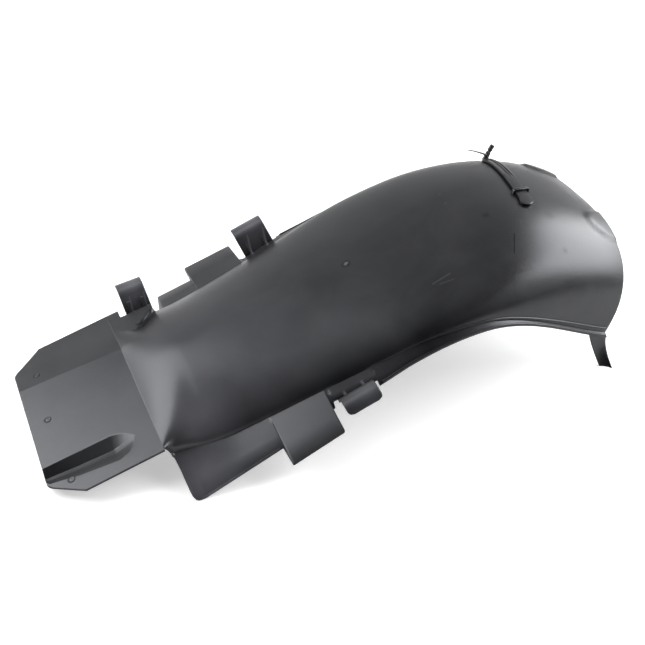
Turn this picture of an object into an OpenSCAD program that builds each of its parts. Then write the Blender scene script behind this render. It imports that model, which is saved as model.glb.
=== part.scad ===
/* [Shell] */
// Wall thickness of the moulding
wall = 2.5; // [2:0.1:3.5]
// Distance from the front edge of the plate to the foot of the dome
plate_len = 112; // [108:1:118]
// Height of the plate's upper face at its front edge
front_lift = 10; // [9:0.5:14]
// Slope of the front plate in degrees
plate_deg = 14.5; // [11:0.5:17]
// Slope of the ridge between the plate and the wheel arch in degrees
ridge_deg = 17; // [15:0.5:19]
// Height of the brow where the dome begins behind the plate
brow_h = 12; // [6:0.5:16]
// Radius of the wheel arch along its ridge
arch_r = 225; // [210:1:245]
// Distance from the front edge to the highest point of the ridge
crest_x = 528; // [518:1:538]
// Angle that the ridge turns behind its highest point in degrees
tail_deg = 31; // [27:0.5:34]
// How far the ridge overhangs the foot of the side wall at the rear end
tail_lean = 38; // [32:1:44]

/* [Widths] */
// Half width of the dome where it leaves the plate
dome_half_w = 105; // [98:1:107]
// Half width of the wheel arch at the foot of its side walls
arch_half_w = 133; // [125:1:140]
// Half width of the flange at its front corner
flap_half_w = 151; // [146:1:158]
// Width of the beaded lip outside the arch walls
lip_w = 3.5; // [3:0.5:6]
// Half width of the plate on the side of the channel
plate_near_w = 110; // [109:1:114]
// Half width of the plate on the side of the tilted strip
plate_far_w = 119; // [114:1:124]
// Length of the chamfered plate corners
plate_chamfer = 33; // [24:1:40]
// How far the chamfers cut in at the front edge
plate_cut = 26; // [20:1:32]

/* [Side line] */
// Distance from the front edge to where the flange line leaves the ground
side_start = 137; // [132:1:142]
// Slope of the flange line in degrees
side_deg = 19; // [18:0.5:20]
// Distance from the front edge to where the flange line begins to bend
side_bend_x = 360; // [350:1:370]
// Height of the flange line at its crest
side_top = 93; // [88:1:98]
// Distance from the front edge to the crest of the flange line
side_top_x = 446; // [436:1:456]
// Height of the side wall's end above the ground
side_end = 29; // [25:1:33]
// Slope of the flange line at the rear end in degrees
side_fall_deg = 24; // [20:1:28]
// Height of the dome's foot above the flange edge
flange_drop = 8; // [6:0.5:10]
// Height of the dome's foot above the flap's corner
flap_rise = 22; // [18:1:26]

/* [Plate details] */
// Depth of the cable channel
channel_depth = 7.2; // [5:0.2:7.4]
// Distance from the centre line to the channel's inner rim
channel_y = 60; // [56:1:64]
// Width of the channel at the front edge
channel_w = 20; // [17:1:22]
// Length of the channel before its end ramp
channel_len = 71; // [62:1:78]
// Length of the channel's end ramp
channel_ramp = 18; // [12:1:24]
// Distance from the centre line to the tilted strip
strip_y = 50; // [44:1:56]
// How far the tilted strip falls at its outer edge
strip_drop = 7.4; // [6:0.2:8]
// Diameter of the ejector marks
mark_d = 7; // [5:0.5:9]
// Distance from the front edge to the ejector marks
mark_x = 22; // [18:1:26]

/* [Side tabs] */
// Distance from the front edge to the side tabs
tab_x = 220; // [214:1:224]
// Length of a side tab
tab_len = 56; // [48:1:58]
// How far a side tab stands out from the flange
tab_out = 25; // [18:1:30]

/* [Rail clips] */
// Inner radius of a clip, half the diameter of its rail
clip_r = 12.5; // [11:0.5:14]
// Length of a clip along the rail
clip_len = 38; // [30:1:40]
// Distance from the front edge to the pair of rear clips
clip_x = 284; // [282:1:288]
// Distance from the front edge to the single front clip
clip_front_x = 135; // [133:1:136]
// Length of the front clip along its rail
clip_front_len = 30; // [26:1:34]
// Distance from the foot of the front clip's wall out to its rail's axis
clip_front_reach = 29; // [26:0.5:32]
// Height of the front clip's rail axis above the flange
clip_front_rise = 15; // [13:0.5:17]
// Slope of the front clip's rail in degrees
clip_front_deg = 8; // [6:0.5:9]
// Width of the flange that is left under a rear clip
clip_seat = 12; // [10:0.5:13]
// Distance from the foot of a rear clip's wall out to its rail's axis
clip_reach = 25.5; // [23:0.5:28]
// Height of a rear clip's rail axis above the flange
clip_rise = 5.5; // [4:0.5:8]
// Angle of a clip's arc inboard of its top in degrees
clip_inner_deg = 50; // [48:1:54]
// Angle of a clip's arc outboard of its top in degrees
clip_outer_deg = 62; // [60:1:70]
// Width of a gusset's foot in front of the clip's wall
gusset_w = 5; // [4:0.5:7]

/* [Rear feet] */
// Width of a rear foot where it leaves the side wall
foot_len = 25; // [20:1:28]
// How far a rear foot flares out at the ground
foot_flare = 12; // [8:1:15]

/* [Rear pads] */
// Distance from the centre line to a pad's middle
pad_y = 62; // [56:1:68]
// Half length of a pad across the part
pad_a = 27; // [22:1:30]
// Half length of a pad along the part
pad_b = 34; // [28:1:38]
// Height of a pad
pad_h = 3.5; // [2:0.5:5]

/* [Strap] */
// Width of the strap's band
band_w = 14.5; // [12:0.5:16]
// Thickness of the strap's band
band_t = 3; // [2:0.1:4]
// Clearance between the strap and the shell
band_gap = 0.3; // [0.2:0.05:0.6]
// Diameter of the strap's paddle end
paddle_d = 17; // [16.5:0.5:20]
// Length of the strap's lobed head
head_len = 19; // [14:0.5:24]
// Length of the strap's thin tail
tail_len = 29; // [20:1:34]
// Distance from the centre line to the bridge that holds the strap
keeper_y = -10; // [-14:1:40]

/* [Hidden] */
shell_colour = "#3a3a3d";
strap_colour = "#17171a";
// Half of the distance over which a side outline steps in or out
step = 0.2;

function clamp01(u) = min(1, max(0, u));
function smooth(u) = let (c = clamp01(u)) c * c * (3 - 2 * c);
// Hermite curve between two heights with given slopes, over a length
function hermite(u, len, z0, s0, z1, s1) =
    let (u2 = u * u, u3 = u2 * u)
    z0 * (1 - 3 * u2 + 2 * u3) + z1 * (3 * u2 - 2 * u3)
    + len * (s0 * (u3 - 2 * u2 + u) + s1 * (u3 - u2));

// Front plate
function plate_z(x) = front_lift + tan(plate_deg) * x;
function plate_edge(x, half_w) = half_w - plate_cut * clamp01(1 - x / plate_chamfer);
channel_end = channel_len + channel_ramp;
channel_lip_y = channel_y + channel_w;
function channel_rim(x) = lookup(x, [[0, channel_y], [channel_len, channel_y + channel_w / 4],
    [channel_end, channel_y + channel_w * 0.8]]);
function channel_lip(x) = lookup(x, [[0, channel_lip_y], [channel_len, channel_lip_y + 2],
    [channel_end, channel_lip_y + 1]]);
function channel_floor(x) = channel_rim(x) + 0.25 * (channel_lip(x) - channel_rim(x));
function channel_fall(x) = channel_depth * clamp01((channel_end - x) / channel_ramp);

// Ridge: a straight slope that runs into the arch round its centre
ridge_z0 = plate_z(plate_len) + 2;
function ridge_line(x) = ridge_z0 + tan(ridge_deg) * (x - plate_len);
arch_z = ridge_line(crest_x) - arch_r / cos(ridge_deg);
arch_start = crest_x - arch_r * sin(ridge_deg);
tail_x = crest_x + arch_r * sin(tail_deg);
brow_x = plate_len + 28;
brow_fade = 160;
function ridge_z(x) = x > arch_start
    ? arch_z + sqrt(arch_r * arch_r - (x - crest_x) * (x - crest_x))
    : ridge_line(x) - 2 * (1 - smooth((x - plate_len) / 10))
        + brow_h * (smooth((x - plate_len) / (brow_x - plate_len)) - smooth((x - brow_x) / brow_fade));

// Foot of the side walls
wall_end_x = tail_x - tail_lean;
lean_start = 330;
function lean(x) = tail_lean * pow(clamp01((x - lean_start) / (wall_end_x - lean_start)), 1.5);
function dome_w(x) = dome_half_w
    + (arch_half_w - dome_half_w) * smooth((x - plate_len) / (crest_x - plate_len));
function side_line(x) = tan(side_deg) * (x - side_start);
function edge_z(x) = wall +
    (x < side_start ? 0
    : x < side_bend_x ? side_line(x)
    : x < side_top_x ? hermite((x - side_bend_x) / (side_top_x - side_bend_x),
        side_top_x - side_bend_x, side_line(side_bend_x), tan(side_deg), side_top, 0)
    : hermite((x - side_top_x) / (wall_end_x - side_top_x),
        wall_end_x - side_top_x, side_top, 0, side_end, -tan(side_fall_deg)));
function foot_z(x) = max(wall + flap_rise, edge_z(x)
    + flange_drop * (1 - 0.7 * smooth((x - side_bend_x) / (crest_x - side_bend_x))));

// Outline of the flange: notches, flap, tabs and the seats of the clips
outer_w = arch_half_w + lip_w;
flap_x = plate_len + 7;
flap_full_x = flap_x + 13;
tab_end = tab_x + tab_len;
clip_end = clip_x + clip_len;
clip_front_end = clip_front_x + clip_front_len;
far_start = clip_front_end + 8;
// How far the flange runs on under a clip's wall
seat_edge = 2;
function inside(x, a, b) = x > a && x < b;
function flange_w(x) = flap_half_w - (flap_half_w - outer_w)
    * clamp01((x - flap_full_x) / (side_bend_x - flap_full_x));
function common_w(x) = inside(x, tab_x, tab_end) ? flange_w(x) + tab_out
    : inside(x, tab_end, clip_x - 4) ? flange_w(x) - 7
    : inside(x, clip_x - 4, clip_end + 4) ? dome_w(x) + clip_seat + seat_edge
    : flange_w(x);
function near_w(x) = x <= plate_len ? plate_edge(x, plate_near_w)
    : x < flap_x ? dome_w(x) + 6
    : x < flap_full_x ? lookup(x, [[flap_x, dome_w(x) + 7], [flap_x + 6, flap_half_w - 8],
        [flap_x + 9, flap_half_w - 2], [flap_full_x, flap_half_w]])
    : common_w(x);
far_notch = plate_len + 14;
function far_w(x) = x <= plate_len ? plate_edge(x, plate_far_w)
    : x < far_notch ? plate_far_w
    : x < far_start ? dome_w(x) + 1 + seat_edge
    : x < far_start + 6 ? lookup(x, [[far_start, dome_w(x) + 12], [far_start + 6, flange_w(x)]])
    : common_w(x);

// Cross section: the exponent makes the arch boxy at the rear and rounded in front
cols = 12;
boxy_start = clip_x - 4;
function round_n(x) = 1.65 + 0.95 * smooth((x - boxy_start) / (wall_end_x - boxy_start));
function pad_rise(x, y, rise) = let (dx = (x + lean(x) - tail_x) / pad_b, dy = (abs(y) - pad_y) / pad_a)
    pad_h * smooth(1.8 * (1 - dx * dx - dy * dy)) * (rise > 0.5 ? 1 : 0);
// One point of the dome: station x, column i from 0 at the near foot to 2 * cols at the far foot
function dome_point(x, i, inset) =
    let (a = 90 * i / cols,
        n = round_n(x),
        c = pow(abs(cos(a)), 2 / n),
        h = pow(abs(sin(a)), 2 / n),
        y = -sign(cos(a)) * (dome_w(x) - inset) * c,
        top_x = x + lean(x),
        z = foot_z(x) + (ridge_z(top_x) - foot_z(x)) * h)
    [x + lean(x) * h, y, z - inset + pad_rise(x, y, h)];

// Plate points use the same columns, spaced so that the channel's edges fall on them
function plate_y(x, i) = i <= cols
    ? -lookup(i, [[0, near_w(x) - 3], [4, channel_lip(x)], [7, channel_floor(x)],
        [8, channel_rim(x)], [cols, 0]])
    : lookup(i - cols, [[0, 0], [5, strip_y], [cols, far_w(x) - 3]]);
function plate_drop(x, i) = i <= cols
    ? channel_fall(x) * lookup(i, [[4, 0], [6, 0.8], [7, 1], [8, 0]])
    : strip_drop * max(0, (plate_y(x, i) - strip_y) / (plate_far_w - strip_y));
function plate_point(x, i, inset) = [x, plate_y(x, i), plate_z(x) - plate_drop(x, i) - inset];

// A full cross section: near edge, columns, far edge
function near_edge_z(x) = x <= plate_len ? plate_z(x)
    : x < flap_x ? foot_z(x) - 1
    : x < flap_full_x ? lookup(x, [[flap_x, foot_z(x) - 1], [flap_full_x, edge_z(x)]])
    : inside(x, clip_x - 4, clip_end + 4) ? foot_z(x) - flange_drop * 0.6 : edge_z(x);
function far_edge_z(x) = x <= far_notch - step ? plate_z(x) - strip_drop
    : x < far_start ? foot_z(x) - 1
    : inside(x, clip_x - 4, clip_end + 4) ? foot_z(x) - flange_drop * 0.6 : edge_z(x);
function section(x, inset) = concat(
    [[x, -near_w(x), near_edge_z(x) - inset]],
    [for (i = [0 : 2 * cols]) x <= plate_len ? plate_point(x, i, inset) : dome_point(x, i, inset)],
    [[x, far_w(x), far_edge_z(x) - inset]]);

// Stations along the part, closer together where an outline steps
function sorted(v) = len(v) < 2 ? v
    : let (p = v[floor(len(v) / 2)])
    concat(sorted([for (a = v) if (a < p) a]), [p], sorted([for (a = v) if (a > p) a]));
function both(x) = [x - step, x + step];
arch_steps = 22;
arch_first = clip_end + 18;
stations = sorted(concat(
    [0, plate_chamfer / 2, plate_chamfer, channel_len, channel_end, plate_len],
    [plate_len + 3, flap_x, flap_x + 6, flap_x + 9, flap_full_x, side_start],
    both(far_notch), [clip_front_x + clip_front_len / 2], both(far_start), [far_start + 6, tab_x - 20],
    both(tab_x), [tab_x + tab_len / 3, tab_x + tab_len * 2 / 3], both(tab_end),
    both(clip_x - 4), [clip_x + clip_len / 3, clip_x + clip_len * 2 / 3], both(clip_end + 4),
    [for (k = [0 : arch_steps]) arch_first + (wall_end_x - arch_first) * k / arch_steps]));

// Closed skin between an upper and a lower grid of points
module loft(rows_up, rows_down) {
    n = len(rows_up);
    m = len(rows_up[0]);
    points = concat([for (r = rows_up) each r], [for (r = rows_down) each r]);
    low = n * m;
    quads = concat(
        [for (i = [0 : n - 2], j = [0 : m - 2])
            [i * m + j, i * m + j + 1, (i + 1) * m + j + 1, (i + 1) * m + j]],
        [for (i = [0 : n - 2], j = [0 : m - 2])
            [low + i * m + j, low + (i + 1) * m + j, low + (i + 1) * m + j + 1, low + i * m + j + 1]],
        [for (i = [0 : n - 2]) [i * m, (i + 1) * m, low + (i + 1) * m, low + i * m]],
        [for (i = [0 : n - 2])
            [i * m + m - 1, low + i * m + m - 1, low + (i + 1) * m + m - 1, (i + 1) * m + m - 1]],
        [for (j = [0 : m - 2]) [j, low + j, low + j + 1, j + 1]],
        [for (j = [0 : m - 2])
            [(n - 1) * m + j, (n - 1) * m + j + 1, low + (n - 1) * m + j + 1, low + (n - 1) * m + j]]);
    triangles = [for (q = quads) each [[q[0], q[1], q[2]], [q[0], q[2], q[3]]]];
    polyhedron(points = points, faces = triangles, convexity = 10);
}

module skin() {
    loft([for (x = stations) section(x, 0)], [for (x = stations) section(x, wall)]);
}

// Ejector marks: shallow round dimples square to the plate
mark_depth = 0.8;
module ejector_marks() {
    for (y = [1 - plate_near_w + plate_cut, 0, strip_y + plate_cut])
        translate([mark_x, y, plate_z(mark_x)
            - strip_drop * max(0, (y - strip_y) / (plate_far_w - strip_y))])
            rotate([0, -plate_deg, 0]) translate([0, 0, -mark_depth])
                cylinder(d = mark_d, h = 3 * mark_depth, $fn = 32);
}

// Rail clip: a leaning wall, an arc over the rail and two gussets. The profile's origin
// is where the wall leaves the flange, and the rail's axis is at the given reach and rise
outer_r = clip_r + wall;
far_r = 3 * outer_r;
// Where a side of the leaning wall, tangent to a radius, lies at a height
function wall_line(r, reach, rise, h) = reach - r * sin(clip_inner_deg)
    - (rise + r * cos(clip_inner_deg) - h) / tan(clip_inner_deg);
module clip_profile(reach, rise, below) {
    outer_foot = wall_line(outer_r, reach, rise, 0);
    inner_foot = wall_line(clip_r, reach, rise, 0);
    difference() {
        union() {
            translate([reach, rise]) circle(r = outer_r, $fn = 96);
            polygon([[outer_foot, -below], [outer_foot, 0],
                [reach - outer_r * sin(clip_inner_deg), rise + outer_r * cos(clip_inner_deg)],
                [reach, rise], [inner_foot, 0], [inner_foot, -below]]);
        }
        translate([reach, rise]) circle(r = clip_r, $fn = 96);
        polygon([[inner_foot, 0],
            [reach - clip_r * sin(clip_inner_deg), rise + clip_r * cos(clip_inner_deg)],
            [reach, rise],
            [reach + far_r * sin(clip_outer_deg), rise + far_r * cos(clip_outer_deg)],
            [reach + far_r, -far_r], [inner_foot, -far_r]]);
    }
}
module clip(x, y, z, slope, len, reach, rise, below) {
    top = 0.62 * (rise + outer_r * cos(clip_inner_deg));
    foot = wall_line(outer_r, reach, rise, 0);
    translate([x, y, z]) rotate([0, -slope, 0]) rotate([90, 0, 90]) {
        linear_extrude(len) clip_profile(reach, rise, below);
        for (along = [0.23, 0.77])
            translate([0, 0, len * along - wall / 2]) linear_extrude(wall)
                polygon([[foot - gusset_w, -below / 2], [foot + 1, -below],
                    [wall_line(outer_r, reach, rise, top) + 1, top]]);
    }
}

// Rear foot: a tongue that curves outwards to the ground
foot_rows = 6;
function foot_curve(q, x0, z0, x1, flare, inset) =
    [x0 + (x1 - x0) * q, outer_w - 1 - inset + flare * q * q, z0 * (1 - q)];
module rear_foot() {
    x0 = wall_end_x - foot_len;
    x1 = wall_end_x;
    rows = [for (k = [0 : foot_rows]) k / foot_rows];
    loft([for (q = rows) [foot_curve(q, x1, edge_z(x1) - 0.5, x1, foot_flare + 9, 0),
            foot_curve(q, x0, edge_z(x0) - 0.5, x0 + 14, foot_flare, 0)]],
        [for (q = rows) [foot_curve(q, x1, edge_z(x1) - 0.5, x1, foot_flare + 9, wall),
            foot_curve(q, x0, edge_z(x0) - 0.5, x0 + 14, foot_flare, wall)]]);
}

// The origin lies under the middle of the part
module placed() {
    translate([-tail_x / 2, 0, 0]) children();
}
clip_y = dome_w(clip_x + clip_len / 2) + clip_seat;
clip_z = foot_z(clip_x) - flange_drop * 0.6;
clip_front_y = dome_w(clip_front_x + clip_front_len / 2) + 1;
clip_front_z = foot_z(clip_front_x) - 1;

// Bridge over the strap: two posts and a bar, square to the dome
keeper_t = 1.6;
keeper_w = 4;
keeper_inside = band_w + 3;
module keeper() {
    x = strap_x(keeper_y);
    high = band_gap + band_t + 0.5;
    slope = asin((x + lean(x) - crest_x) / arch_r);
    translate(strap_point(x, keeper_y, 0)) rotate([0, slope, 0]) {
        for (side = [-1, 1])
            translate([side * (keeper_inside + keeper_t) / 2 - keeper_t / 2, -keeper_w / 2, -wall * 0.6])
                cube([keeper_t, keeper_w, high + wall * 0.6 + keeper_t / 2]);
        translate([-keeper_inside / 2 - keeper_t, -keeper_w / 2, high])
            cube([keeper_inside + 2 * keeper_t, keeper_w, keeper_t]);
    }
}

module mudguard_shell() {
    color(shell_colour) placed() {
        difference() {
            skin();
            ejector_marks();
        }
        for (side = [0, 1]) mirror([0, side, 0]) {
            clip(clip_x, clip_y, clip_z, side_deg, clip_len, clip_reach, clip_rise, wall);
            rear_foot();
        }
        clip(clip_front_x, clip_front_y, clip_front_z, clip_front_deg, clip_front_len,
            clip_front_reach, clip_front_rise, wall + clip_front_len * sin(clip_front_deg));
        keeper();
    }
}

// Strap: a band over the dome, with a round paddle at one end and a lobed head at the other
function strap_point(x, y, lift) =
    let (w = dome_w(x),
        n = round_n(x),
        v = abs(y) / w,
        h = pow(1 - pow(v, n), 1 / n),
        rise = ridge_z(x + lean(x)) - foot_z(x),
        ny = sign(y) * pow(v, n - 1) / w,
        nz = pow(h, n - 1) / rise,
        len = sqrt(ny * ny + nz * nz))
    [x + lean(x) * h, y + lift * ny / len, foot_z(x) + rise * h + lift * nz / len];
// The strap's route over the dome, from the paddle to the head
strap_rows = 12;
paddle_rows = 5;
strap_y0 = -28;
strap_y1 = 88;
function strap_x(y) = 529 + 19 * (y - strap_y0) / (strap_y1 - strap_y0);
function strap_row(y, half, lift) =
    let (x = strap_x(y), stretch = 1 + lean(x + 1) - lean(x))
    [for (s = [1, -1]) strap_point(x + s * half / stretch, y, lift)];
paddle_r = paddle_d / 2;
paddle_turn = 180 - asin(band_w / paddle_d);
strap_plan = concat(
    [for (k = [0 : paddle_rows]) let (a = 20 + (paddle_turn - 20) * k / paddle_rows)
        [strap_y0 - paddle_r * cos(a), paddle_r * sin(a)]],
    [for (k = [1 : strap_rows]) let (y = strap_y0 - paddle_r * cos(paddle_turn))
        [y + (strap_y1 - y) * k / strap_rows, band_w / 2]]);
// Where the head and the tail leave the band
head_base = strap_point(strap_x(strap_y1 - 2), strap_y1 - 2, band_gap + band_t / 2);
module cable_strap() {
    color(strap_colour) placed() {
        loft([for (r = strap_plan) strap_row(r[0], r[1], band_gap + band_t)],
            [for (r = strap_plan) strap_row(r[0], r[1], band_gap)]);
        translate(head_base) rotate([-10, 36, 0]) {
            translate([-band_w * 0.2, -band_t / 2 - 1, 0]) cube([band_w * 0.4, band_t, head_len * 0.52]);
            translate([-band_w * 0.14, -band_t / 2 - 0.5, head_len * 0.3])
                cube([band_w * 0.28, band_t - 1, head_len * 0.4]);
            translate([-band_w * 0.18, -band_t / 2 - 1, head_len * 0.6])
                cube([band_w * 0.36, band_t, head_len * 0.4]);
        }
        translate(head_base + [3, -1, 5]) rotate([-6, -66, 0])
            cylinder(d1 = 2.4, d2 = 1.4, h = tail_len, $fn = 16);
    }
}

mudguard_shell();
cable_strap();
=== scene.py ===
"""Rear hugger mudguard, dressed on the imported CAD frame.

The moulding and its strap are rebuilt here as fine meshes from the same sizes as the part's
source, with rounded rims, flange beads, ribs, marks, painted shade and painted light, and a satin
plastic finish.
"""

import sys

import logging
import math
from dataclasses import dataclass
from enum import Enum
from typing import Callable, Optional

import bmesh
import bpy
import numpy as np
from mathutils import Matrix, Vector

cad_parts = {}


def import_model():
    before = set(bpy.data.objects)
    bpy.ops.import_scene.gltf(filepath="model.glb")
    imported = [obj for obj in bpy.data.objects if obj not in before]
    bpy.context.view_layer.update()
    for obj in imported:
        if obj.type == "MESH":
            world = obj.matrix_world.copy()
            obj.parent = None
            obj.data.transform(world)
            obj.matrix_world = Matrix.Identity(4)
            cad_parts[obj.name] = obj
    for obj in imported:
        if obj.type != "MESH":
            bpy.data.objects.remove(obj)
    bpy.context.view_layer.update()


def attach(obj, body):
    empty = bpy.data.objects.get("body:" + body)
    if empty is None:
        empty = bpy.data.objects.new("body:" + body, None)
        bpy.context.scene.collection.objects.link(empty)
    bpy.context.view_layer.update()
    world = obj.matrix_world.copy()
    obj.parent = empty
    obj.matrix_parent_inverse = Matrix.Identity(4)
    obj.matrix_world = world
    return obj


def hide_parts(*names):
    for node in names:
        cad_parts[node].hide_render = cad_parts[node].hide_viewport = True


LOG = logging.getLogger("mudguard")
MM = 0.001
Grid = np.ndarray
Faces = list[tuple[int, ...]]
Triple = tuple[float, float, float]
Node, Socket, Sockets = bpy.types.Node, bpy.types.NodeSocket, bpy.types.NodeOutputs
Mesh, Object, Material = bpy.types.Mesh, bpy.types.Object, bpy.types.Material


class Side(Enum):
    """The two sides of the part; the value is the sign of Y."""

    NEAR = -1
    FAR = 1


class Slot(Enum):
    """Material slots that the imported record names."""

    SHELL = "shell_plastic"
    STRAP = "strap_rubber"


def smooth(u: Grid) -> Grid:
    """Return the smooth step of u, clamped to 0 and 1."""
    c = np.clip(u, 0.0, 1.0)
    return c * c * (3 - 2 * c)


def tan(degrees: float) -> float:
    """Return the tangent of an angle in degrees."""
    return math.tan(math.radians(degrees))


def table(x: float, places: list[float], values: list[float]) -> float:
    """Return the value at x between the places of a table."""
    return float(np.interp(x, places, values))


def hermite(u: float, length: float, z0: float, s0: float, z1: float, s1: float) -> float:
    """Return a height on a Hermite curve.

    Args:
        u: Place along the curve, from 0 to 1.
        length: Length of the span in millimetres.
        z0: Height at the start.
        s0: Slope at the start.
        z1: Height at the end.
        s1: Slope at the end.

    Returns:
        The height.
    """
    u2, u3 = u * u, u * u * u
    return z0 * (1 - 3 * u2 + 2 * u3) + z1 * (3 * u2 - 2 * u3) + length * (
        s0 * (u3 - 2 * u2 + u) + s1 * (u3 - u2))


@dataclass(frozen=True)
class ShellSizes:
    """Sizes of the moulding in millimetres and degrees, with a few shares.

    Those of the joint behind the plate and of the slot beside it are this script's own, and the
    others follow the part's source.
    """

    wall: float = 2.5
    rim: float = 1.1
    plate_len: float = 112.0
    plate_deg: float = 14.5
    plate_near_w: float = 110.0
    plate_far_w: float = 119.0
    plate_chamfer: float = 33.0
    plate_cut: float = 26.0
    plate_corner: float = 4.5
    front_lift: float = 10.0
    ridge_deg: float = 17.0
    ridge_step: float = 2.0
    brow_h: float = 12.0
    brow_in: float = 28.0
    brow_run: float = 160.0
    arch_r: float = 225.0
    crest_x: float = 528.0
    tail_deg: float = 31.0
    tail_lean: float = 38.0
    lean_x: float = 330.0
    dome_half_w: float = 105.0
    arch_half_w: float = 133.0
    lip_w: float = 3.5
    round_x: float = 280.0
    round_front: float = 1.65
    round_gain: float = 0.95
    side_start: float = 137.0
    side_deg: float = 19.0
    side_bend_x: float = 360.0
    side_top: float = 93.0
    side_top_x: float = 446.0
    side_end: float = 29.0
    side_fall_deg: float = 24.0
    flange_drop: float = 8.0
    drop_fade: float = 0.7
    seat_drop: float = 0.6
    foot_blend: float = 5.0
    flap_half_w: float = 151.0
    flap_rise: float = 22.0
    flap_gap: float = 7.0
    far_notch: float = 14.0
    far_gap: float = 8.0
    far_turn: float = 6.0
    clip_room: float = 4.0
    seat_room: float = 2.0
    waist: float = 7.0
    edge_sink: float = 0.5
    near_out: float = 1.0
    far_out: float = 3.0
    far_lip: float = 12.0
    step: float = 0.2
    channel_depth: float = 7.2
    channel_y: float = 60.0
    channel_w: float = 20.0
    channel_len: float = 71.0
    channel_ramp: float = 20.0
    strip_y: float = 50.0
    strip_splay: float = 9.0
    strip_drop: float = 7.4
    strip_tilt: float = 0.05
    strip_in: float = 40.0
    strip_rise: float = 12.0
    strip_soft: float = 0.3
    strip_end: float = 161.0
    strip_fade: float = 3.0
    slot_x0: float = 136.0
    slot_in: float = 5.0
    slot_x1: float = 158.0
    slot_out: float = 6.0
    slot_depth: float = 3.0
    mark_d: float = 7.0
    tab_x: float = 220.0
    tab_len: float = 56.0
    tab_out: float = 25.0
    tab_corner: float = 1.6
    pad_y: float = 62.0
    pad_a: float = 23.0
    pad_b: float = 32.0
    pad_h: float = 2.8
    pad_edge: float = 3.4
    joint_turn: float = 3.0
    joint_near: float = 10.0
    joint_fade: float = 30.0
    joint_reach: float = 52.0
    joint_past: float = 8.0
    joint_square: float = 2.6
    square_reach: float = 48.0
    square_far: float = 0.4
    shoulder_in: float = 19.0
    shoulder_x: float = 140.0
    shoulder_run: float = 22.0


@dataclass(frozen=True)
class ClipSizes:
    """Sizes of the rail clips in millimetres and degrees, as in the part's source."""

    radius: float = 12.5
    length: float = 38.0
    x: float = 284.0
    seat: float = 12.0
    reach: float = 25.5
    rise: float = 5.5
    front_x: float = 135.0
    front_length: float = 30.0
    front_reach: float = 29.0
    front_rise: float = 15.0
    front_deg: float = 8.0
    inner_deg: float = 50.0
    outer_deg: float = 62.0
    gusset_w: float = 5.0
    gusset_t: float = 3.0
    corner: float = 5.5
    rim: float = 0.8


@dataclass(frozen=True)
class StrapSizes:
    """Sizes of the cable strap in millimetres, as in the part's source."""

    band_w: float = 14.5
    band_t: float = 3.0
    gap: float = 0.3
    paddle_d: float = 17.0
    tail_len: float = 29.0
    y0: float = -28.0
    y1: float = 88.0
    x0: float = 529.0
    slant: float = 19.0
    keeper_y: float = -10.0
    keeper_t: float = 1.6
    keeper_w: float = 4.0
    keeper_room: float = 3.0


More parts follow.
